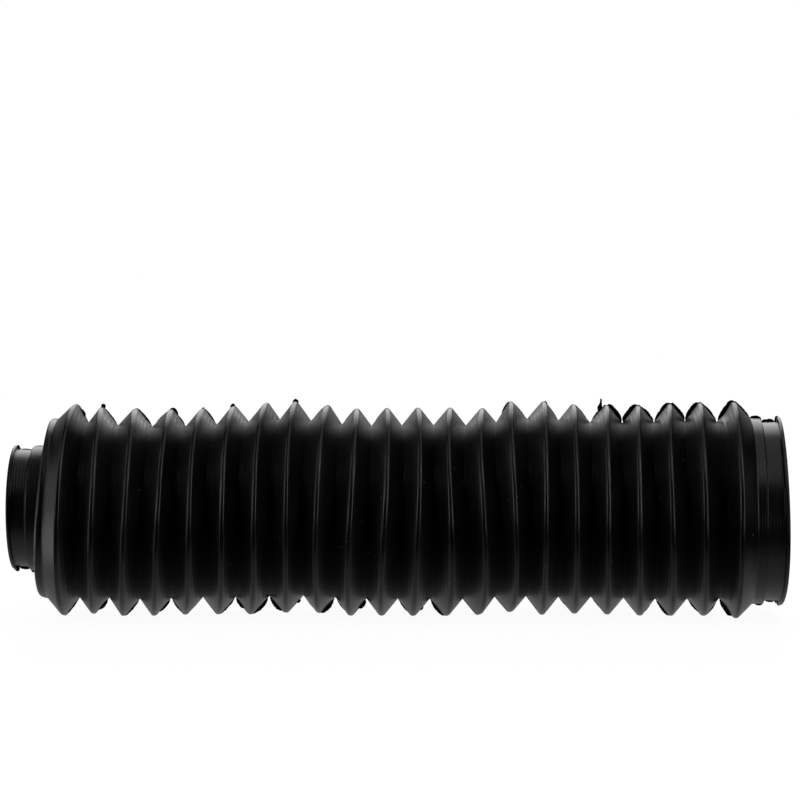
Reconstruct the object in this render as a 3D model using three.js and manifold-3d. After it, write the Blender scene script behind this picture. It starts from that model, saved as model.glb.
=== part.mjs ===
// Fork gaiter: the rubber bellows that covers the sliding tube of a motorbike's front fork.
// It is moulded in one piece. A small cuff grips the fork tube, a large cuff slips over the
// slider, and each has a groove for a clip. It lies on its side along X, as it comes to rest,
// with the small cuff towards -X, the large cuff towards +X and the bench at z = 0.
// All sizes are in millimetres.
import * as THREE from "three";
import { mergeVertices } from "three/addons/utils/BufferGeometryUtils.js";
import Module from "manifold-3d";

// Bellows
const overallLength = 230;
const convolutions = 22;
const crestRadius = 31.6;
const valleyRadius = 26.3;
const crestLand = 1.1; // width of the blunt top of each fold
const bellowsWall = 1.4; // rubber thickness, square to a fold's flank
const endCrestRise = 1.1; // the fold beside the large cuff stands this much prouder

// Small cuff, its shoulder and the first fold, measured along the axis from the small mouth
const smallBoreRadius = 16;
const smallGrooveRadius = 17.9;
const smallLipRadius = 19;
const smallLipWidth = 0.8;
const smallGrooveWidth = 4;
const smallCuffLength = 8.4;
const shoulderRadius = 27.3;
const shoulderWall = 1.8;
const shoulderCorner = 1; // radius where the shoulder's face turns into its rim
const shoulderDraft = 0.1; // how far the shoulder's face leans back between cuff and corner
const creaseDepth = 0.15; // the small dip between the shoulder's rim and the first fold
const creaseFromMouth = 10.9;
const firstCrestFromMouth = 15.9;

// Large cuff and the last fold, measured along the axis from the large mouth
const largeBoreRadius = 25.4;
const largeGrooveRadius = 27.2;
const largeLandRadius = 28.3;
const largeLipRadius = 28.6;
const largeLipWidth = 1;
const largeGrooveWidth = 4.1;
const largeLandWidth = 3.3;
const lastCrestFromMouth = 13.4;

// Edges
const lipChamfer = 0.5;
const grooveDraft = 0.2; // slope of a groove's side walls along the axis

// The soft folds press flat by this much where they lie on the bench
const restFlat = 0.25;

const facetsAround = 40;
const shoulderCornerSteps = 3;

// Worked out from the sizes above
const smallMouth = 0;
const largeMouth = overallLength;
const firstCrest = smallMouth + firstCrestFromMouth;
const lastCrest = largeMouth - lastCrestFromMouth;
const pitch = (lastCrest - firstCrest) / (convolutions - 1);
const crease = smallMouth + creaseFromMouth;
const shoulderFace = smallMouth + smallCuffLength;
const shoulderRim = shoulderFace + shoulderDraft + shoulderCorner;
const largeLipStart = largeMouth - largeLipWidth;
const largeGrooveStart = largeLipStart - largeGrooveWidth;
const largeCuffRoot = largeGrooveStart - largeLandWidth;
const axisHeight = crestRadius - restFlat;

// A point of the section: its distance from the axis and its place along the axis.
const at = (radius, along) => new THREE.Vector2(radius, along);

// The centre of fold number i, and the root between folds i and i + 1.
const crestAt = (i) => firstCrest + pitch * i;
const valleyAt = (i) => firstCrest + pitch * (i + 0.5);

// The small cuff from its mouth to the crease: lip, clip groove, land, shoulder and rim.
function smallCuffOutside() {
  const grooveStart = smallMouth + smallLipWidth;
  const grooveEnd = grooveStart + smallGrooveWidth;
  const corner = at(shoulderRadius - shoulderCorner, shoulderRim);
  const points = [
    at(smallLipRadius - lipChamfer, smallMouth),
    at(smallLipRadius, smallMouth + lipChamfer),
    at(smallLipRadius, grooveStart - grooveDraft),
    at(smallGrooveRadius, grooveStart),
    at(smallGrooveRadius, grooveEnd),
    at(smallLipRadius, grooveEnd + grooveDraft),
    at(smallLipRadius, shoulderFace),
  ];
  for (let i = 0; i <= shoulderCornerSteps; i++) {
    const turn = (Math.PI / 2) * (i / shoulderCornerSteps);
    points.push(
      at(corner.x + shoulderCorner * Math.sin(turn), corner.y - shoulderCorner * Math.cos(turn)),
    );
  }
  return points;
}

// The large cuff from its root to its mouth: land, clip groove and lip.
function largeCuffOutside() {
  return [
    at(largeLandRadius, largeCuffRoot),
    at(largeLandRadius, largeGrooveStart - grooveDraft),
    at(largeGrooveRadius, largeGrooveStart),
    at(largeGrooveRadius, largeLipStart - grooveDraft),
    at(largeLipRadius, largeLipStart + grooveDraft),
    at(largeLipRadius, largeMouth - lipChamfer),
    at(largeLipRadius - lipChamfer, largeMouth),
  ];
}

// The folds' outside: a blunt crest and a sharp root for each, from the crease to the last crest.
function foldsOutside() {
  const points = [at(shoulderRadius - creaseDepth, crease)];
  for (let i = 0; i < convolutions; i++) {
    const last = i === convolutions - 1;
    const radius = crestRadius + (last ? endCrestRise : 0);
    points.push(at(radius, crestAt(i) - crestLand / 2));
    points.push(at(radius, crestAt(i) + crestLand / 2));
    if (!last) points.push(at(valleyRadius, valleyAt(i)));
  }
  return points;
}

// Where the line from a to b, moved square to itself towards the axis by one wall, meets the
// line from c to d moved the same way.
function innerCorner(a, b, c, d, wall) {
  const moved = (p, q) => {
    const inward = at(-(q.y - p.y), q.x - p.x).normalize();
    return { from: p.clone().addScaledVector(inward, wall), way: q.clone().sub(p) };
  };
  const first = moved(a, b);
  const second = moved(c, d);
  const gap = second.from.clone().sub(first.from);
  const t = gap.cross(second.way) / first.way.cross(second.way);
  return first.from.addScaledVector(first.way, t);
}

// The folds' inside, one wall behind the flanks: a groove under each crest and a ridge under
// each root. The last fold keeps the others' inside, so its prouder crest is the thicker one.
function foldsInside() {
  const rootBefore = (i) =>
    i === 0 ? at(shoulderRadius - creaseDepth, crease) : at(valleyRadius, valleyAt(i - 1));
  const rootAfter = (i) =>
    i === convolutions - 1
      ? at(largeLandRadius, largeCuffRoot)
      : at(valleyRadius, valleyAt(i));
  const rising = (i) => [rootBefore(i), at(crestRadius, crestAt(i) - crestLand / 2)];
  const falling = (i) => [at(crestRadius, crestAt(i) + crestLand / 2), rootAfter(i)];
  const points = [];
  for (let i = 0; i < convolutions; i++) {
    points.push(innerCorner(...rising(i), ...falling(i), bellowsWall));
    if (i < convolutions - 1) {
      points.push(innerCorner(...falling(i), ...rising(i + 1), bellowsWall));
    }
  }
  return points;
}

// The inside of the small cuff and its shoulder, from the mouth to the first fold.
function smallCuffInside() {
  const rimInside = shoulderRadius - shoulderWall;
  const faceInside = shoulderFace + shoulderDraft + shoulderWall;
  return [
    at(smallBoreRadius, smallMouth),
    at(smallBoreRadius, shoulderFace + shoulderWall / 2),
    at(smallBoreRadius + shoulderWall / 2, shoulderFace + shoulderWall),
    at(rimInside - shoulderCorner / 2, faceInside),
    at(rimInside, faceInside + shoulderCorner / 2),
    at(rimInside, crease + creaseDepth),
  ];
}

// The inside of the large cuff, from the last fold to the mouth.
function largeCuffInside() {
  return [at(largeBoreRadius, largeCuffRoot), at(largeBoreRadius, largeMouth)];
}

// The closed section: along the outside from the small mouth, and back along the inside.
function section() {
  const outside = [...smallCuffOutside(), ...foldsOutside(), ...largeCuffOutside()];
  const inside = [...smallCuffInside(), ...foldsInside(), ...largeCuffInside()];
  const loop = [...outside, ...inside.reverse()];
  return [...loop, loop[0].clone()];
}

// A three.js geometry as a solid that can be cut.
function toSolid(wasm, geometry) {
  const bare = geometry.clone();
  bare.deleteAttribute("normal");
  bare.deleteAttribute("uv");
  const merged = mergeVertices(bare);
  return new wasm.Manifold(
    new wasm.Mesh({
      numProp: 3,
      vertProperties: new Float32Array(merged.attributes.position.array),
      triVerts: new Uint32Array(merged.index.array),
    }),
  );
}

// A solid back as a three.js geometry.
function toGeometry(solid) {
  const mesh = solid.getMesh();
  const geometry = new THREE.BufferGeometry();
  geometry.setAttribute("position", new THREE.BufferAttribute(mesh.vertProperties, 3));
  geometry.setIndex(new THREE.BufferAttribute(mesh.triVerts, 1));
  geometry.computeVertexNormals();
  return geometry;
}

// The gaiter about its own axis, which runs along X from the small mouth, with the folds cut
// flat where they will meet the bench.
function gaiterGeometry(wasm) {
  const turned = new THREE.LatheGeometry(section(), facetsAround).rotateZ(-Math.PI / 2);
  const benchDepth = crestRadius;
  const bench = new THREE.BoxGeometry(2 * overallLength, 4 * crestRadius, benchDepth);
  bench.translate(overallLength / 2, 0, -axisHeight - benchDepth / 2);
  return toGeometry(toSolid(wasm, turned).subtract(toSolid(wasm, bench)));
}

const wasm = await Module();
wasm.setup();

const rubber = new THREE.MeshStandardMaterial({ color: 0x0c0c0d, roughness: 0.45, metalness: 0 });
const gaiter = new THREE.Mesh(gaiterGeometry(wasm), rubber);
gaiter.name = "gaiter";
gaiter.position.set(-overallLength / 2, 0, axisHeight);

const model = new THREE.Group();
model.add(gaiter);
export default model;
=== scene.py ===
# Fork gaiter: a moulded rubber bellows, lying on its side on a white sweep.
import math

import bpy
import numpy as np
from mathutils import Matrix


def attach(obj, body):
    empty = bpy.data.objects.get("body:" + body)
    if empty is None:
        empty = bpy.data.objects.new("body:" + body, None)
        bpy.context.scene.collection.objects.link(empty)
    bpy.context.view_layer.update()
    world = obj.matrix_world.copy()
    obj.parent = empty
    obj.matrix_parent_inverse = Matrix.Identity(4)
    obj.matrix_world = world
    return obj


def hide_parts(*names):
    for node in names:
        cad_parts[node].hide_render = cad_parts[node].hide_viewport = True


mm = 0.001
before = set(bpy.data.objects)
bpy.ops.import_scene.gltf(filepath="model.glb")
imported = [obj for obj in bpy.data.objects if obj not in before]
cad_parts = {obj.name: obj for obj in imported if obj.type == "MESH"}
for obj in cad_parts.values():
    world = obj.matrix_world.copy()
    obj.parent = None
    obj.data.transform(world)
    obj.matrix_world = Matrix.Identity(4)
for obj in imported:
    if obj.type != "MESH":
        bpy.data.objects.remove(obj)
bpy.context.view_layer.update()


def toLinear(hexColour):
    # an sRGB hex colour as the linear colour Blender works in
    channels = [int(hexColour[i:i + 2], 16) / 255 for i in (1, 3, 5)]
    linear = [c / 12.92 if c <= 0.04045 else ((c + 0.055) / 1.055) ** 2.4 for c in channels]
    return (*linear, 1.0)


# Sizes in millimetres, along the axis from the small mouth
gaiter = {
    "length": 230.0,
    "folds": 22,
    "firstCrest": 15.9,
    "lastCrest": 216.6,
    "crestRadius": 31.6,
    "rootRadius": 26.3,
    "crestLand": 1.0,  # width of the blunt top of a fold
    "crestEdge": 0.9,  # how softly that top turns into the flanks
    "rootEdge": 0.02,  # the roots are sharp
    "flankSwell": 0.03,  # the flanks are very slightly full
    "flankEdge": 6.0,
    "innerEdge": 0.8,  # of the grooves and ridges inside the folds
    "endCrestRise": 1.1,  # the fold beside the large cuff stands prouder
    "wall": 1.4,
    "restFlat": 0.25,  # how far the folds press flat on the bench
    "restSoftness": 0.12,  # how softly a fold turns into that flat
    "around": 128,  # points round the axis
    "arcPoints": 4,  # points of a rounded corner
}

smallCuff = {
    "bore": 16.0,
    "lip": 19.0,
    "groove": 17.9,
    "lipEnd": 0.8,
    "grooveEnd": 4.8,
    "face": 8.4,
    "shoulder": 27.3,
    "corner": 1.0,  # where the shoulder's face turns into its rim
    "crease": 10.9,
    "creaseDepth": 0.1,
    "shoulderWall": 1.8,
    "mouthEdge": 0.4,
    "grooveEdge": 0.25,
    "draft": 0.1,  # how far a step leans along the axis
    "landDraft": 0.1,  # how much wider the land gets towards the shoulder
}

largeCuff = {
    "bore": 25.4,
    "lip": 28.6,
    "land": 28.3,
    "groove": 27.2,
    "root": 221.6,
    "grooveStart": 224.9,
    "lipStart": 229.0,
    "mouthEdge": 0.4,
    "grooveEdge": 0.25,
    "draft": 0.15,
}

# How the soft folds have settled: fold number, shift along the axis in mm, lean of the fold
# to the right at its top in degrees, turn of its near side to the right in degrees, twist in mm,
# and how far its top and its bottom stand higher, in mm. The cuffs count as folds before the
# first and after the last.
settled = [
    (-0.7, -0.5, 0, -1, 0, 0.9, 1.5),
    (-0.2, 0.1, 0.5, -0.5, 0, 0.6, 1.0),
    (0.2, 0.6, 3, -0.5, 0.3, 0.7, 1.5),
    (1, 0.5, 3, -1.5, -0.2, 0.7, 0.2),
    (2, -0.8, 2.5, 2, 0, -0.2, 0.8),
    (3, -0.8, 3.5, 2, 0, -0.7, 0),
    (4, -0.4, 5, 1.5, -0.5, -0.9, 0.1),
    (5, -0.7, 5, 1.5, -1, -0.7, 0.5),
    (6, -0.6, 4.5, 1.5, -1, 0.1, 0.6),
    (7, -0.3, 4.5, 0.5, -1, 1.1, 0.6),
    (8, 0, 2.5, -0.5, -0.5, 1.5, 1.1),
    (9, 0.5, 2, -3, 0, 0.4, 1),
    (10, 0.2, 1.5, -2, 0.5, -0.7, 0.1),
    (11, -0.2, 1.5, 0, 0.5, -0.5, 0.1),
    (12, -0.4, 1.5, 1, 0.3, -0.4, 0),
    (13, -0.5, 1.5, 1.5, -1, -0.4, 0),
    (14, -0.4, 1.5, 1.5, -1.3, -0.6, 0.4),
    (15, -0.8, 0.5, 1.5, -0.8, 1.5, 1.3),
    (16, -0.2, 0.5, -1, 0, 1.5, 0.4),
    (17, -0.4, -0.5, -1.5, 0, 0.6, 0.8),
    (18, 0, -0.5, -3, 0, 0.3, 0.5),
    (19, 0.1, -1, -4, 0, 0.2, 0.1),
    (20, -0.1, -0.5, -3.5, -0.5, 0.7, 0),
    (21, 0, -1.5, -3.5, 0, 1, 0),
    (22, 0.2, -0.5, -2, 0, 0.2, 0.2),
    (22.6, 0.1, -1, -2, 0, -0.3, 0.4),
    (22.9, 0.1, -1, -3, 0, -0.4, 0.3),
    (23.25, 0.6, -0.5, -2, -0.3, -0.3, 0.1),
    (23.4, 0.6, -0.5, -1, -0.3, 0, 0.2),
]

pitch = (gaiter["lastCrest"] - gaiter["firstCrest"]) / (gaiter["folds"] - 1)
axisHeight = gaiter["crestRadius"] - gaiter["restFlat"]


def roundCorners(corners, arcPoints):
    # Every corner (along, radius, edge) of a closed outline becomes an arc of that edge radius,
    # tangent to both sides: it starts edge / tan(half angle) before the corner and turns about a
    # centre on the bisector. A long arc is cut to just under half the shorter side.
    points, edges = corners[:, :2], corners[:, 2]
    before, after = np.roll(points, 1, 0), np.roll(points, -1, 0)
    toBefore, toAfter = before - points, after - points
    sides = np.minimum(np.linalg.norm(toBefore, axis=1), np.linalg.norm(toAfter, axis=1))
    toBefore /= np.linalg.norm(toBefore, axis=1, keepdims=True)
    toAfter /= np.linalg.norm(toAfter, axis=1, keepdims=True)
    half = np.arccos(np.clip((toBefore * toAfter).sum(1), -0.99999, 0.99999)) / 2
    cut = np.minimum(edges / np.tan(half), 0.48 * sides)[:, None]
    start, end = points + toBefore * cut, points + toAfter * cut
    bisector = toBefore + toAfter
    bisector /= np.linalg.norm(bisector, axis=1, keepdims=True)
    centre = points + bisector * cut / np.cos(half)[:, None]
    turn = (math.pi - 2 * half)[:, None]
    t = np.linspace(0, 1, arcPoints)[None, :]
    blendStart = np.sin((1 - t) * turn) / np.sin(turn)
    blendEnd = np.sin(t * turn) / np.sin(turn)
    arcs = (
        centre[:, None]
        + blendStart[..., None] * (start - centre)[:, None]
        + blendEnd[..., None] * (end - centre)[:, None]
    )
    return arcs.reshape(-1, 2)


def outsideCorners():
    # The small cuff, the folds and the large cuff as corners (along, radius, edge). Each fold
    # is a blunt crest, a full flank, a root half a pitch on, and a full flank up again.
    g, s, c = gaiter, smallCuff, largeCuff
    small = np.array([
        (0.0, s["lip"], s["mouthEdge"]),
        (s["lipEnd"], s["lip"], 0.12),
        (s["lipEnd"] + s["draft"], s["groove"], s["grooveEdge"]),
        (s["grooveEnd"], s["groove"], s["grooveEdge"]),
        (s["grooveEnd"] + s["draft"], s["lip"], 0.3),
        (s["face"], s["lip"] + s["landDraft"], 0.5),
        (s["face"] + s["draft"], s["shoulder"], s["corner"]),
        (s["crease"], s["shoulder"] - s["creaseDepth"], 0.3),
    ])
    crest = g["firstCrest"] + pitch * np.arange(g["folds"])
    land = g["crestLand"] / 2
    rise = np.where(np.arange(g["folds"]) == g["folds"] - 1, g["endCrestRise"], 0)
    top = g["crestRadius"] + rise
    middle = (g["crestRadius"] + g["rootRadius"]) / 2 + g["flankSwell"]
    quarter = pitch / 4 + land / 2
    one = np.ones(g["folds"])
    folds = np.stack([
        np.stack([crest - land, top, g["crestEdge"] * one], 1),
        np.stack([crest + land, top, g["crestEdge"] * one], 1),
        np.stack([crest + quarter, middle * one, g["flankEdge"] * one], 1),
        np.stack([crest + pitch / 2, g["rootRadius"] * one, g["rootEdge"] * one], 1),
        np.stack([crest + pitch - quarter, middle * one, g["flankEdge"] * one], 1),
    ], 1).reshape(-1, 3)[:-3]
    large = np.array([
        (c["root"], c["land"], 0.6),
        (c["grooveStart"], c["land"], c["grooveEdge"]),
        (c["grooveStart"] + c["draft"], c["groove"], c["grooveEdge"]),
        (c["lipStart"], c["groove"], c["grooveEdge"]),
        (c["lipStart"] + c["draft"], c["lip"], 0.15),
        (g["length"], c["lip"], 0.5),
    ])
    return np.concatenate([small, folds, large])


def insideCorners():
    # The inside from the large mouth back to the small one: one wall behind each flank there is
    # a groove under every crest and a ridge under every root. A wall square to a flank is
    # wall / cos(flank) deep measured along the radius.
    g, s, c = gaiter, smallCuff, largeCuff
    run = pitch / 2 - g["crestLand"] / 2
    slope = (g["crestRadius"] - g["rootRadius"]) / run
    deep = g["wall"] * math.hypot(1, slope)
    groove = g["crestRadius"] + slope * g["crestLand"] / 2 - deep
    ridge = g["rootRadius"] - deep
    crest = g["firstCrest"] + pitch * np.arange(g["folds"])[::-1]
    one = np.ones(g["folds"])
    folds = np.stack([
        np.stack([crest, groove * one, g["innerEdge"] * one], 1),
        np.stack([crest - pitch / 2, ridge * one, g["innerEdge"] * one], 1),
    ], 1).reshape(-1, 3)[:-1]
    boreStart = c["root"] + 0.2
    large = np.array([(g["length"], c["bore"], c["mouthEdge"]), (boreStart, c["bore"], 1.5)])
    creaseInside = s["crease"] + 0.6
    shoulderInside = s["shoulder"] - s["shoulderWall"]
    faceInside = s["face"] + s["shoulderWall"] + 0.3
    small = np.array([
        (creaseInside, shoulderInside, 1.0),
        (faceInside, shoulderInside - 0.3, 1.5),
        (faceInside, s["bore"], 1.2),
        (0.0, s["bore"], s["mouthEdge"]),
    ])
    return np.concatenate([large, folds, small])


def sectionOutline():
    # the whole closed section, outside first
    return roundCorners(np.concatenate([outsideCorners(), insideCorners()]), gaiter["arcPoints"])


def settle(along, radius, angle):
    # A point on the turned form, angle 0 at the top and growing away from the viewer, moved to
    # where the soft bellows has settled: shift, lean, turn and twist move it along the axis by
    # shift + height * tan(lean) - depth * tan(turn) - twist * sin(2 * angle), it rises by the
    # mean of the top's and the bottom's rise plus half their difference times the cosine of the
    # angle, and below the bench plane the height eases to it as a soft maximum.
    stations = np.array(settled)
    fold = (along - gaiter["firstCrest"]) / pitch + 1
    shift, lean, turn, twist, topRise, bottomRise = (
        np.interp(fold, stations[:, 0], stations[:, k]) for k in range(1, 7)
    )
    height = radius * np.cos(angle)
    depth = radius * np.sin(angle)
    x = along - gaiter["length"] / 2 + shift
    x = x + height * np.tan(np.radians(lean)) - depth * np.tan(np.radians(turn))
    x = x - twist * np.sin(2 * angle)
    soft = gaiter["restSoftness"]
    z = height + (topRise + bottomRise) / 2 + (topRise - bottomRise) / 2 * np.cos(angle)
    z = soft * np.logaddexp(0, (z + axisHeight) / soft)
    return np.stack([x, depth, z], -1) * mm


def gridMesh(name, grids, closedRows):
    # Grids of points (row, column) as quads in one mesh. Columns always close round. Rows close
    # too where closedRows is true, and otherwise both ends get a cap.
    faces = []
    first = 0
    for grid in grids:
        rows, columns = grid.shape[:2]
        number = first + np.arange(rows * columns).reshape(rows, columns)
        here = number if closedRows else number[:-1]
        there = np.roll(number, -1, 0) if closedRows else number[1:]
        quads = np.stack([here, there, np.roll(there, -1, 1), np.roll(here, -1, 1)], -1)
        faces += quads.reshape(-1, 4).tolist()
        if not closedRows:
            faces += [number[0].tolist(), number[-1, ::-1].tolist()]
        first += rows * columns
    points = np.concatenate([grid.reshape(-1, 3) for grid in grids])
    mesh = bpy.data.meshes.new(name)
    mesh.from_pydata(points.tolist(), [], faces)
    mesh.polygons.foreach_set("use_smooth", np.ones(len(mesh.polygons), bool))
    mesh.validate()
    piece = bpy.data.objects.new(name, mesh)
    bpy.context.collection.objects.link(piece)
    return piece


def makeGaiterSkin():
    # The section turned once round the axis: outside from the small mouth, inside back again.
    outline = sectionOutline()
    angle = np.linspace(0, 2 * math.pi, gaiter["around"], endpoint=False)
    grid = settle(outline[:, :1], outline[:, 1:], angle[None, :])
    skin = gridMesh("gaiter_skin", [grid], True)
    # wide faces count for more in the shading, so the flanks stay flat up to their crests
    weighted = skin.modifiers.new("flatFlanks", "WEIGHTED_NORMAL")
    weighted.weight = 60
    return skin


# The thin fins of rubber that squeezed out where the two halves of the mould met, in mm
flash = {
    "roll": 8.0,  # degrees that the parting plane is turned from the upright
    "step": 0.2,  # from one section of a fin to the next
    "smoothed": 5,  # sections over which a fin's direction is averaged
    "sunk": 0.25,
    "halfThickness": 0.16,
    # A fin's section: sideways in half thicknesses, height in fin heights, and 1 where it is sunk
    "section": [(-1, 0, 1), (-0.8, 0.5, 0), (-0.4, 1, 0), (0.4, 1, 0), (0.8, 0.5, 0), (1, 0, 1)],
    "tall": 1.1,  # above this height a fin starts to stand straight away from the axis
    "film": {"top": 0.05, "bottom": 0.14},  # the lowest fin there is
    "raggedness": 1.2,  # between two values of the coarse noise
    "even": 0.85,  # what a fin keeps of its height, and what coarse and fine noise can add
    "coarse": 0.35,
    "fine": 0.2,
    "seed": 22,
    # Where a fin stands: first and last place in folds, with the first crest at 1, and height
    "top": [
        (-0.6, -0.54, 0.35), (-0.52, -0.18, 0.25), (-0.1, 0.05, 0.15), (1.16, 1.36, 0.65),
        (1.96, 2.08, 0.9), (2.08, 2.46, 0.3), (3.0, 3.47, 0.4), (3.6, 3.9, 0.25),
        (3.95, 4.22, 0.6), (4.2, 4.45, 0.3), (4.96, 5.05, 0.35), (5.05, 5.42, 0.3),
        (5.9, 6.03, 0.75), (7.91, 8.08, 0.75), (8.58, 8.92, 0.2), (9.58, 9.95, 0.2),
        (10.6, 10.9, 0.15), (14.7, 14.96, 0.5), (15.1, 15.42, 0.2), (16.0, 16.12, 0.3),
        (16.12, 16.45, 0.2), (17.05, 17.4, 0.25), (17.56, 17.9, 0.4), (17.78, 17.89, 3.2),
        (17.9, 18.0, 0.3), (18.02, 18.47, 1.25), (18.53, 18.98, 1.3), (18.9, 19.15, 0.3),
        (19.08, 19.48, 0.7), (19.53, 20.02, 0.9), (20.0, 20.48, 1.0), (20.52, 20.96, 1.25),
        (20.9, 21.1, 0.3), (21.05, 21.48, 0.6), (21.54, 22.03, 0.9), (21.94, 22.02, 0.5),
        (22.0, 22.55, 0.7), (22.55, 22.89, 0.85), (22.78, 22.92, 0.35), (22.86, 23.28, 0.9),
        (23.24, 23.36, 0.4),
    ],
    "bottom": [
        (-0.63, -0.54, 0.6), (-0.56, -0.2, 0.8), (-0.16, 0.02, 0.6), (1.08, 1.46, 0.35),
        (2.16, 2.44, 0.75), (3.05, 3.46, 0.55), (4.15, 4.47, 0.7), (4.54, 4.9, 0.4),
        (5.1, 5.4, 0.15), (6.05, 6.47, 0.55), (6.53, 6.8, 0.8), (6.75, 6.95, 0.2),
        (7.05, 7.45, 0.9), (7.53, 7.9, 0.95), (8.3, 8.4, 0.6), (8.55, 8.9, 0.2),
        (9.05, 9.44, 0.95), (9.54, 9.85, 0.4), (10.05, 10.3, 0.2), (10.24, 10.46, 1.1),
        (11.55, 11.85, 0.35), (12.2, 12.3, 0.55), (12.54, 12.95, 0.7), (16.55, 16.75, 0.2),
        (17.55, 17.8, 0.2), (19.1, 19.4, 0.2), (19.55, 19.95, 0.6), (20.55, 20.85, 0.4),
        (21.08, 21.4, 0.4), (21.53, 21.93, 1.0), (22.62, 22.88, 0.55), (22.95, 23.2, 0.55),
        (23.22, 23.3, 0.8),
    ],
}


def finHeight(side, along, travelled):
    # For every place where a fin stands, its height times the square root of a half sine from
    # its first to its last place. The highest one counts, and rough noise makes it ragged.
    rng = np.random.default_rng(flash["seed"] + (side == "bottom"))
    fold = ((along - gaiter["firstCrest"]) / pitch + 1)[:, None]
    first, last, height = np.array(flash[side]).T
    way = np.clip((fold - first) / (last - first), 0, 1)
    stands = (height * np.sqrt(np.sin(math.pi * way))).max(1)
    knots = flash["raggedness"] * np.arange(int(travelled[-1] / flash["raggedness"]) + 2)
    coarse = np.interp(travelled, knots, rng.random(len(knots)))
    fine = rng.random(len(along))
    ragged = flash["even"] + flash["coarse"] * coarse + flash["fine"] * fine
    return np.maximum(stands * ragged, flash["film"][side])


def makeFin(side):
    # The outside outline at even steps, carried outwards by the fin's height along its normal,
    # or straight away from the axis where it is tall. Its section is a thin wedge, wide where it
    # is sunk in the skin and narrow at its tip.
    outline = sectionOutline()[:len(outsideCorners()) * gaiter["arcPoints"]]
    lengths = np.linalg.norm(np.diff(outline, axis=0), axis=1)
    place = np.concatenate([[0], np.cumsum(lengths)])
    travelled = np.arange(0, place[-1], flash["step"])
    along = np.interp(travelled, place, outline[:, 0])
    radius = np.interp(travelled, place, outline[:, 1])
    tangent = np.stack([np.gradient(along), np.gradient(radius)], 1)
    kernel = np.ones(flash["smoothed"]) / flash["smoothed"]
    reach = flash["smoothed"] // 2
    padded = np.pad(tangent, ((reach, reach), (0, 0)), "edge")
    tangent = np.stack([np.convolve(padded[:, k], kernel, "valid") for k in (0, 1)], 1)
    tangent /= np.linalg.norm(tangent, axis=1, keepdims=True)
    normal = np.stack([-tangent[:, 1], tangent[:, 0]], 1)
    height = finHeight(side, along, travelled)
    upright = np.clip(height - flash["tall"], 0, 1)[:, None]
    normal = normal * (1 - upright) + np.array([[0, 1]]) * upright
    sideways, high, sunk = np.array(flash["section"]).T
    outward = high[None] * height[:, None] - sunk[None] * flash["sunk"]
    finAlong = along[:, None] + normal[:, :1] * outward
    finRadius = radius[:, None] + normal[:, 1:] * outward
    roll = math.radians(flash["roll"]) + (math.pi if side == "bottom" else 0)
    around = sideways[None] * flash["halfThickness"] / finRadius
    return settle(finAlong, finRadius, roll + around)


def makeMouldFlash():
    # One fin along the top and one along the bottom, in one piece.
    return gridMesh("mould_flash", [makeFin("top"), makeFin("bottom")], False)


def emptyTree(owner):
    # the node tree of a material or a world, emptied
    owner.use_nodes = True
    owner.node_tree.nodes.clear()
    return owner.node_tree


def addNode(tree, kind, settings, links):
    # A node with its settings and what comes into it. A socket goes by its name, or by its
    # number where several share one name.
    node = tree.nodes.new(kind)
    for key, value in settings.items():
        if isinstance(key, int) or key in node.inputs:
            node.inputs[key].default_value = value
        else:
            setattr(node, key, value)
    for key, socket in links.items():
        tree.links.new(socket, node.inputs[key])
    return node


rubber = {
    "colour": "#010101",
    "bloomColour": "#050505",
    "dustColour": "#8a8a86",
    "roughness": (0.27, 0.36),
    "turnedLine": 0.9,  # mm between turned lines, drawn coarser than the real 0.2 mm to show
    "turnedDepth": 0.04,
    "turnedStrength": 0.45,
    "bloomSize": 18.0,
    "grainSize": 0.6,
    "grainDepth": 0.02,
    "grainStrength": 0.25,
    "dustSize": 5.0,
}

# The same rubber where it tore
torn = {
    "colour": "#050505",
    "roughness": (0.65, 0.9),
    "tearSize": 1.5,
    "tearDepth": 0.05,
    "tearStrength": 0.4,
}


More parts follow.
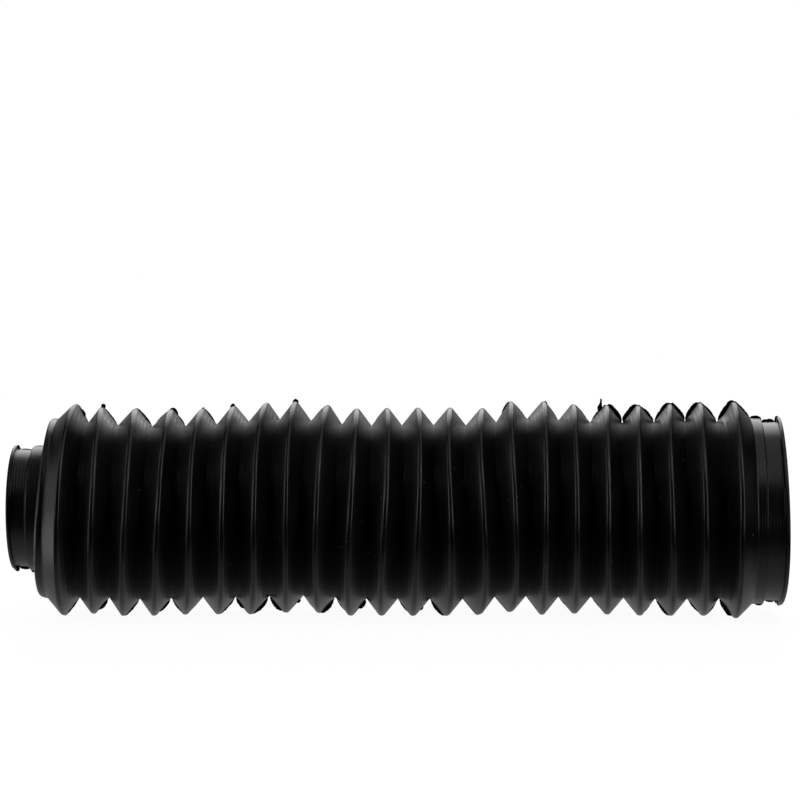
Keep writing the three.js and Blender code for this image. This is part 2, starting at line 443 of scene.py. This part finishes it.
def makeMouldedRubber():
    # Carbon-black rubber, compression moulded in a lathe-turned steel mould: a satin near-black
    # with fine rings from the turning tool, a faint grey bloom and a few specks of dust.
    material = bpy.data.materials.new("mouldedRubber")
    tree = emptyTree(material)
    place = addNode(tree, "ShaderNodeTexCoord", {}, {}).outputs["Object"]
    bloom = addNode(tree, "ShaderNodeTexNoise", {
        "Scale": 1 / (rubber["bloomSize"] * mm), "Detail": 4.0, "Roughness": 0.6,
    }, {"Vector": place})
    bloomShare = addNode(tree, "ShaderNodeMapRange", {
        "interpolation_type": "SMOOTHSTEP", "From Min": 0.45, "From Max": 0.8, "To Max": 0.7,
    }, {"Value": bloom.outputs["Fac"]})
    darkOrBloomed = addNode(tree, "ShaderNodeMix", {
        "data_type": "RGBA", 6: toLinear(rubber["colour"]), 7: toLinear(rubber["bloomColour"]),
    }, {0: bloomShare.outputs["Result"]})
    specks = addNode(tree, "ShaderNodeTexVoronoi", {
        "Scale": 1 / (rubber["dustSize"] * mm), "Randomness": 1.0,
    }, {"Vector": place})
    speckShare = addNode(tree, "ShaderNodeMapRange", {
        "From Min": 0.035, "From Max": 0.05, "To Min": 0.5, "To Max": 0.0,
    }, {"Value": specks.outputs["Distance"]})
    dusted = addNode(tree, "ShaderNodeMix", {
        "data_type": "RGBA", 7: toLinear(rubber["dustColour"]),
    }, {0: speckShare.outputs["Result"], 6: darkOrBloomed.outputs[2]})
    grain = addNode(tree, "ShaderNodeTexNoise", {
        "Scale": 1 / (rubber["grainSize"] * mm), "Detail": 3.0,
    }, {"Vector": place})
    roughness = addNode(tree, "ShaderNodeMapRange", {
        "From Min": 0.3, "From Max": 0.7,
        "To Min": rubber["roughness"][0], "To Max": rubber["roughness"][1],
    }, {"Value": bloom.outputs["Fac"]})
    # Turned lines are rings about X, so they are a wave of X alone, made uneven by distortion.
    # At scale 1 this texture repeats every 2 pi / 20.
    rings = addNode(tree, "ShaderNodeTexWave", {
        "wave_type": "BANDS", "bands_direction": "X",
        "Scale": 2 * math.pi / 20 / (rubber["turnedLine"] * mm),
        "Distortion": 1.5, "Detail": 1.0, "Detail Scale": 0.3,
    }, {"Vector": place})
    ringBump = addNode(tree, "ShaderNodeBump", {
        "Strength": rubber["turnedStrength"], "Distance": rubber["turnedDepth"] * mm,
    }, {"Height": rings.outputs["Fac"]})
    grainBump = addNode(tree, "ShaderNodeBump", {
        "Strength": rubber["grainStrength"], "Distance": rubber["grainDepth"] * mm,
    }, {"Height": grain.outputs["Fac"], "Normal": ringBump.outputs["Normal"]})
    surface = addNode(tree, "ShaderNodeBsdfPrincipled", {
        "IOR": 1.52, "Metallic": 0.0,
    }, {
        "Base Color": dusted.outputs[2],
        "Roughness": roughness.outputs["Result"],
        "Normal": grainBump.outputs["Normal"],
    })
    addNode(tree, "ShaderNodeOutputMaterial", {}, {"Surface": surface.outputs["BSDF"]})
    return material


def makeTornRubber():
    # The same rubber where it squeezed out of the mould and tore: matt and rough.
    material = bpy.data.materials.new("tornRubber")
    tree = emptyTree(material)
    place = addNode(tree, "ShaderNodeTexCoord", {}, {}).outputs["Object"]
    tear = addNode(tree, "ShaderNodeTexNoise", {
        "Scale": 1 / (torn["tearSize"] * mm), "Detail": 3.0,
    }, {"Vector": place})
    roughness = addNode(tree, "ShaderNodeMapRange", {
        "To Min": torn["roughness"][0], "To Max": torn["roughness"][1],
    }, {"Value": tear.outputs["Fac"]})
    bump = addNode(tree, "ShaderNodeBump", {
        "Strength": torn["tearStrength"], "Distance": torn["tearDepth"] * mm,
    }, {"Height": tear.outputs["Fac"]})
    surface = addNode(tree, "ShaderNodeBsdfPrincipled", {
        "Base Color": toLinear(torn["colour"]), "IOR": 1.52, "Specular IOR Level": 0.12,
    }, {"Roughness": roughness.outputs["Result"], "Normal": bump.outputs["Normal"]})
    addNode(tree, "ShaderNodeOutputMaterial", {}, {"Surface": surface.outputs["BSDF"]})
    return material


studio = {
    "floorSize": 6.0,
    "floorSeen": 0.95,  # what the camera sees of the floor before any light falls on it
    "floorPaper": 0.15,  # and how much of the light that falls there it sends back
    # How the rubber sees the floor: soft-edged patches, with their west, east, south and north
    # edges in metres from below the gaiter's middle, the softness of those edges and a
    # brightness. They lie behind the gaiter, at its left, in front of it at its right, and
    # dimly everywhere.
    "floorMirrored": [
        (-0.6, 0.15, -0.042, 3.0, 0.037, 0.38),
        (-1.0, -0.15, -0.1, 0.3, 0.02, 0.75),
        (0.2, 0.6, -0.6, -0.12, 0.05, 1.0),
        (-3.0, 3.0, -3.0, 3.0, 0.05, 0.012),
    ],
    "nearGaiter": (0.3, 0.6),  # metres from the gaiter over which the floor turns plain white
    "coveEdge": 0.63,  # how far a direction points away from the viewer where the cove starts
    "behind": 0.37,  # brightness of the white cove behind the gaiter
    "front": 0.008,  # and of the dark room at the sides and on the viewer's side
    "boxRadiance": 2.1,
    "boxAngle": 57.0,  # degrees behind straight up
    "boxDistance": 1.2,
    "boxSize": (1.0, 0.85),
    "sideDistance": 1.3,
    # Lamps beside the viewer: degrees to the right, radiance, width and height
    "sides": [
        (-54.0, 2.8, 0.3, 0.9),
        (52.0, 3.0, 0.3, 2.2),
        (-92.0, 0.6, 1.0, 1.6),
        (92.0, 0.1, 0.8, 1.2),
    ],
    "fillRadiance": 0.46,
    "fillAngle": 80.0,  # degrees up from level, on the viewer's side
    "fillDistance": 1.4,
    "fillSize": (1.2, 1.9),
    "fillRight": 0.36,
}


def makeFloor():
    # A white sweep. The camera sees it white but for the gaiter's faint shadow. The rubber
    # mirrors its patches, which are the product of an ease in and an ease out along x and y.
    half = studio["floorSize"] / 2
    corners = [(-half, -half, 0), (half, -half, 0), (half, half, 0), (-half, half, 0)]
    mesh = bpy.data.meshes.new("floor")
    mesh.from_pydata(corners, [], [(0, 1, 2, 3)])
    floor = bpy.data.objects.new("floor", mesh)
    bpy.context.collection.objects.link(floor)
    material = bpy.data.materials.new("whitePaperSweep")
    tree = emptyTree(material)
    place = addNode(tree, "ShaderNodeTexCoord", {}, {}).outputs["Object"]
    distance = addNode(tree, "ShaderNodeVectorMath", {"operation": "LENGTH"}, {0: place})
    far = addNode(tree, "ShaderNodeMapRange", {
        "interpolation_type": "SMOOTHSTEP",
        "From Min": studio["nearGaiter"][0], "From Max": studio["nearGaiter"][1],
    }, {"Value": distance.outputs["Value"]})
    # a patch's limits along z are well off the floor, so z plays no part
    mirrored = None
    for west, east, south, north, soft, brightness in studio["floorMirrored"]:
        inside = addNode(tree, "ShaderNodeMapRange", {
            "data_type": "FLOAT_VECTOR", "interpolation_type": "SMOOTHSTEP",
            7: (west - soft, south - soft, -2), 8: (west + soft, south + soft, -1),
        }, {6: place})
        outside = addNode(tree, "ShaderNodeMapRange", {
            "data_type": "FLOAT_VECTOR", "interpolation_type": "SMOOTHSTEP",
            7: (east - soft, north - soft, 1), 8: (east + soft, north + soft, 2),
            9: (1, 1, 1), 10: (0, 0, 0),
        }, {6: place})
        both = addNode(tree, "ShaderNodeVectorMath", {"operation": "MULTIPLY"}, {
            0: inside.outputs["Vector"], 1: outside.outputs["Vector"],
        })
        parts = addNode(tree, "ShaderNodeSeparateXYZ", {}, {0: both.outputs[0]})
        share = addNode(tree, "ShaderNodeMath", {"operation": "MULTIPLY"}, {
            0: parts.outputs["X"], 1: parts.outputs["Y"],
        })
        patch = addNode(tree, "ShaderNodeMath", {
            "operation": "MULTIPLY_ADD", 1: brightness, 2: 0.0,
        }, {0: share.outputs[0]})
        if mirrored:
            tree.links.new(mirrored.outputs[0], patch.inputs[2])
        mirrored = patch
    ray = addNode(tree, "ShaderNodeLightPath", {}, {})
    seen = addNode(tree, "ShaderNodeEmission", {"Strength": studio["floorSeen"]}, {})
    paper = addNode(tree, "ShaderNodeBsdfDiffuse", {
        "Color": (*[studio["floorPaper"]] * 3, 1),
    }, {})
    shaded = addNode(tree, "ShaderNodeAddShader", {}, {0: seen.outputs[0], 1: paper.outputs[0]})
    plain = addNode(tree, "ShaderNodeEmission", {"Strength": 1.0}, {})
    sweep = addNode(tree, "ShaderNodeMixShader", {}, {
        0: far.outputs["Result"], 1: shaded.outputs[0], 2: plain.outputs[0],
    })
    glow = addNode(tree, "ShaderNodeEmission", {}, {"Strength": mirrored.outputs[0]})
    mix = addNode(tree, "ShaderNodeMixShader", {}, {
        0: ray.outputs["Is Camera Ray"], 1: glow.outputs[0], 2: sweep.outputs[0],
    })
    addNode(tree, "ShaderNodeOutputMaterial", {}, {"Surface": mix.outputs[0]})
    mesh.materials.append(material)
    return floor


def makeWorld():
    # White cove behind, dark room at the sides and in front: brightness eases with how far a
    # direction points away from the viewer. The camera sees white everywhere.
    world = bpy.data.worlds.new("studio")
    tree = emptyTree(world)
    direction = addNode(tree, "ShaderNodeTexCoord", {}, {}).outputs["Generated"]
    parts = addNode(tree, "ShaderNodeSeparateXYZ", {}, {0: direction})
    level = addNode(tree, "ShaderNodeMapRange", {
        "From Min": studio["coveEdge"], "From Max": 1.0,
        "To Min": studio["front"], "To Max": studio["behind"],
    }, {"Value": parts.outputs["Y"]})
    ray = addNode(tree, "ShaderNodeLightPath", {}, {})
    strength = addNode(tree, "ShaderNodeMix", {"data_type": "FLOAT", 3: 1.0}, {
        0: ray.outputs["Is Camera Ray"], 2: level.outputs["Result"],
    })
    background = addNode(tree, "ShaderNodeBackground", {"Color": (1, 1, 1, 1)}, {
        "Strength": strength.outputs[0],
    })
    addNode(tree, "ShaderNodeOutputWorld", {}, {"Surface": background.outputs[0]})
    bpy.context.scene.world = world


def makeLamp(name, radiance, size, place, turn):
    # a rectangular lamp of an even radiance, which the camera doesn't see
    lamp = bpy.data.lights.new(name, "AREA")
    lamp.shape = "RECTANGLE"
    lamp.size, lamp.size_y = size
    lamp.energy = radiance * math.pi * lamp.size * lamp.size_y
    box = bpy.data.objects.new(name, lamp)
    box.location = place
    box.rotation_euler = turn
    box.visible_camera = False
    bpy.context.collection.objects.link(box)


def makeLamps():
    # A wide softbox above and behind the gaiter, a dim one almost straight above it and a little
    # to the right, a tall strip at each side of the viewer that draws a fine line along both
    # edges of every fold, and a dim panel square to each end for the flanks and the shoulder.
    upright = math.pi / 2
    angle = math.radians(studio["boxAngle"])
    reach = studio["boxDistance"]
    place = (0, reach * math.sin(angle), reach * math.cos(angle))
    makeLamp("softbox", studio["boxRadiance"], studio["boxSize"], place, (-angle, 0, 0))
    angle = math.radians(studio["fillAngle"])
    reach = studio["fillDistance"]
    place = (studio["fillRight"], -reach * math.cos(angle), reach * math.sin(angle))
    makeLamp("fill", studio["fillRadiance"], studio["fillSize"], place, (upright - angle, 0, 0))
    reach = studio["sideDistance"]
    for degrees, radiance, width, height in studio["sides"]:
        angle = math.radians(degrees)
        place = (reach * math.sin(angle), -reach * math.cos(angle), height / 2)
        makeLamp("side", radiance, (width, height), place, (upright, 0, angle))


view = {
    "imageWidth": 800,
    "focalPixels": 2850,  # the focal length, which sets how far off the camera stands
    "pixelSize": 0.3024,  # mm at the axis
    "elevation": 9.0,
    "gaiterPixel": (397, 511),  # where the middle of the axis falls in the image
}


def makeCamera():
    # The camera stands where a pixel at the axis has its size, and turns so that the middle of
    # the axis falls on its own pixel.
    f = view["focalPixels"]
    half = view["imageWidth"] / 2
    across = math.atan((half - view["gaiterPixel"][0]) / f)
    down = math.atan((view["gaiterPixel"][1] - half) / f)
    elevation = math.radians(view["elevation"])
    distance = f * view["pixelSize"] * mm
    data = bpy.data.cameras.new("camera")
    data.sensor_width = 36
    data.lens = data.sensor_width * f / view["imageWidth"]
    data.dof.use_dof = False
    camera = bpy.data.objects.new("camera", data)
    height = axisHeight * mm + distance * math.sin(elevation)
    camera.location = (0, -distance * math.cos(elevation), height)
    camera.rotation_euler = (math.pi / 2 - (elevation - down), 0, -across)
    bpy.context.collection.objects.link(camera)
    bpy.context.scene.camera = camera


print("camera and studio")
makeCamera()
makeWorld()
makeLamps()
makeFloor()

print("gaiter skin")
skin = makeGaiterSkin()
skin.data.materials.append(makeMouldedRubber())
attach(skin, "root")
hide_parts("gaiter")

print("mould flash")
fins = makeMouldFlash()
fins.data.materials.append(makeTornRubber())
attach(fins, "root")

bpy.context.scene.view_settings.view_transform = "Standard"
bpy.context.view_layer.update()
